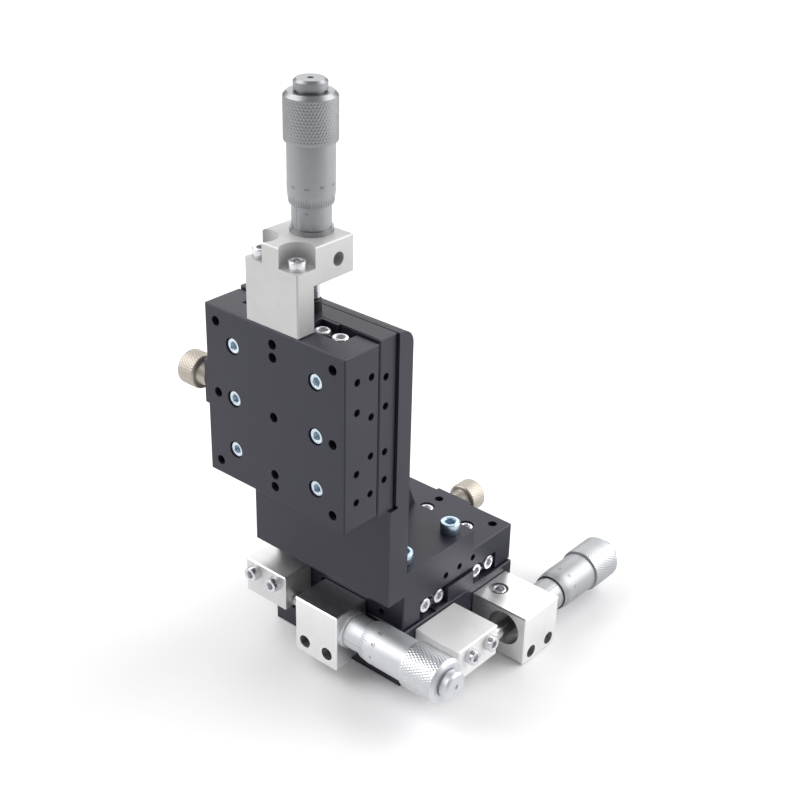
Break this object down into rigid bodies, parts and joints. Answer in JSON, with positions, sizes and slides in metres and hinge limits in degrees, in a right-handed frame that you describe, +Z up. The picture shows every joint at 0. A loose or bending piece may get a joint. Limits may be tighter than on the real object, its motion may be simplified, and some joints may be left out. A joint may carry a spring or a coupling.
{
  "type": "xyz linear stage",
  "caption": "Hand-driven three-axis lab stage: crossed-roller X and Y slides under an angle bracket with an upright Z slide, each with a micrometer head and a lock knob.",
  "frame": {"origin": "centre of the bottom plate's underside", "axes": "+X towards the X micrometer, +Y from the Z table's face back to the upright, +Z up"},
  "size_m": [0.1055, 0.1318, 0.2093],
  "materials": {
    "black_anodised": "fine blasted, black anodised",
    "clear_anodised": "fine milled, clear anodised",
    "satin_chrome": "satin chrome plate",
    "ground_steel": "ground and lapped",
    "rail_steel": "hardened and ground",
    "spring_steel": "drawn wire",
    "screw_steel": "bright zinc plate",
    "nickel": "nickel plate, knurled",
    "cage_brass": "rolled strip with steel rollers",
    "black_oxide": "black oxide"
  },
  "bodies": {
    "y_base": {"y_base_plate": "black_anodised", "y_base_rail_left": "rail_steel", "y_base_rail_right": "rail_steel", "y_holder": "clear_anodised", "y_barrel": "satin_chrome", "y_lock_plate": "black_anodised", "y_base_screws": "screw_steel"},
    "y_cage": {"y_cage_left": "cage_brass", "y_cage_right": "cage_brass"},
    "y_knob": {"y_lock_knob": "nickel"},
    "y_micrometer": {"y_thimble": "satin_chrome", "y_spindle": "ground_steel", "y_cap": "satin_chrome"},
    "y_stage": {"middle_plate": "black_anodised", "y_table_rail_left": "rail_steel", "y_table_rail_right": "rail_steel", "x_base_rail_left": "rail_steel", "x_base_rail_right": "rail_steel", "y_push_block": "clear_anodised", "x_holder": "clear_anodised", "x_barrel": "satin_chrome", "x_lock_plate": "black_anodised", "middle_screws": "screw_steel", "y_spring": "spring_steel"},
    "x_cage": {"x_cage_left": "cage_brass", "x_cage_right": "cage_brass"},
    "x_knob": {"x_lock_knob": "nickel"},
    "x_micrometer": {"x_thimble": "satin_chrome", "x_spindle": "ground_steel", "x_cap": "satin_chrome"},
    "x_stage": {"x_table": "black_anodised", "x_table_rail_left": "rail_steel", "x_table_rail_right": "rail_steel", "x_push_block": "clear_anodised", "bracket": "black_anodised", "bracket_screws": "screw_steel", "z_base_plate": "black_anodised", "z_base_rail_left": "rail_steel", "z_base_rail_right": "rail_steel", "z_anvil": "black_oxide", "z_lock_plate": "black_anodised", "x_table_screws": "screw_steel", "x_rail_end_screws": "screw_steel", "x_spring": "spring_steel"},
    "z_cage": {"z_cage_left": "cage_brass", "z_cage_right": "cage_brass"},
    "z_knob": {"z_lock_knob": "nickel"},
    "z_micrometer": {"z_thimble": "satin_chrome", "z_spindle": "ground_steel", "z_cap": "satin_chrome"},
    "z_stage": {"z_table": "black_anodised", "z_table_rail_left": "rail_steel", "z_table_rail_right": "rail_steel", "z_holder": "clear_anodised", "z_barrel": "satin_chrome", "z_table_screws": "screw_steel", "z_holder_screws": "screw_steel", "z_rail_end_screws": "screw_steel", "z_spring": "spring_steel"}
  },
  "joints": [
    {"name": "y_slide", "type": "slide", "parent": "y_base", "child": "y_stage", "axis": [0, 1, 0], "range_m": [-0.0065, 0.0065], "deforming": ["y_spring"]},
    {"name": "x_slide", "type": "slide", "parent": "y_stage", "child": "x_stage", "axis": [1, 0, 0], "range_m": [-0.0065, 0.0065], "deforming": ["x_spring"]},
    {"name": "z_slide", "type": "slide", "parent": "x_stage", "child": "z_stage", "axis": [0, 0, 1], "range_m": [-0.0065, 0.0065], "deforming": ["z_spring"]},
    {"name": "y_cage_slide", "type": "slide", "parent": "y_base", "child": "y_cage", "axis": [0, 1, 0], "range_m": [-0.00325, 0.00325]},
    {"name": "x_cage_slide", "type": "slide", "parent": "y_stage", "child": "x_cage", "axis": [1, 0, 0], "range_m": [-0.00325, 0.00325]},
    {"name": "z_cage_slide", "type": "slide", "parent": "x_stage", "child": "z_cage", "axis": [0, 0, 1], "range_m": [-0.00325, 0.00325]},
    {"name": "y_thimble_turn", "type": "hinge", "parent": "y_stage", "child": "y_micrometer", "pos_m": [0.0455, 0.0355, 0.0122], "axis": [0, 1, 0], "range_deg": [-4680, 4680]},
    {"name": "x_thimble_turn", "type": "hinge", "parent": "x_stage", "child": "x_micrometer", "pos_m": [0.0225, -0.0376, 0.0203], "axis": [1, 0, 0], "range_deg": [-4680, 4680]},
    {"name": "z_thimble_turn", "type": "hinge", "parent": "x_stage", "child": "z_micrometer", "pos_m": [0, -0.0418, 0.1723], "axis": [0, 0, 1], "range_deg": [-4680, 4680]},
    {"name": "y_knob_turn", "type": "hinge", "parent": "y_base", "child": "y_knob", "pos_m": [-0.04, 0, 0.0163], "axis": [1, 0, 0], "range_deg": [-180, 180]},
    {"name": "x_knob_turn", "type": "hinge", "parent": "y_stage", "child": "x_knob", "pos_m": [0, 0.04, 0.0316], "axis": [0, 1, 0], "range_deg": [-180, 180]},
    {"name": "z_knob_turn", "type": "hinge", "parent": "x_stage", "child": "z_knob", "pos_m": [-0.04, -0.0526, 0.1063], "axis": [1, 0, 0], "range_deg": [-180, 180]}
  ],
  "couplings": [
    {"joint": "y_cage_slide", "follows": "y_slide", "ratio": 0.5},
    {"joint": "x_cage_slide", "follows": "x_slide", "ratio": 0.5},
    {"joint": "z_cage_slide", "follows": "z_slide", "ratio": 0.5},
    {"joint": "y_thimble_turn", "follows": "y_slide", "rad_per_m": 12566},
    {"joint": "x_thimble_turn", "follows": "x_slide", "rad_per_m": 12566},
    {"joint": "z_thimble_turn", "follows": "z_slide", "rad_per_m": -12566}
  ]
}
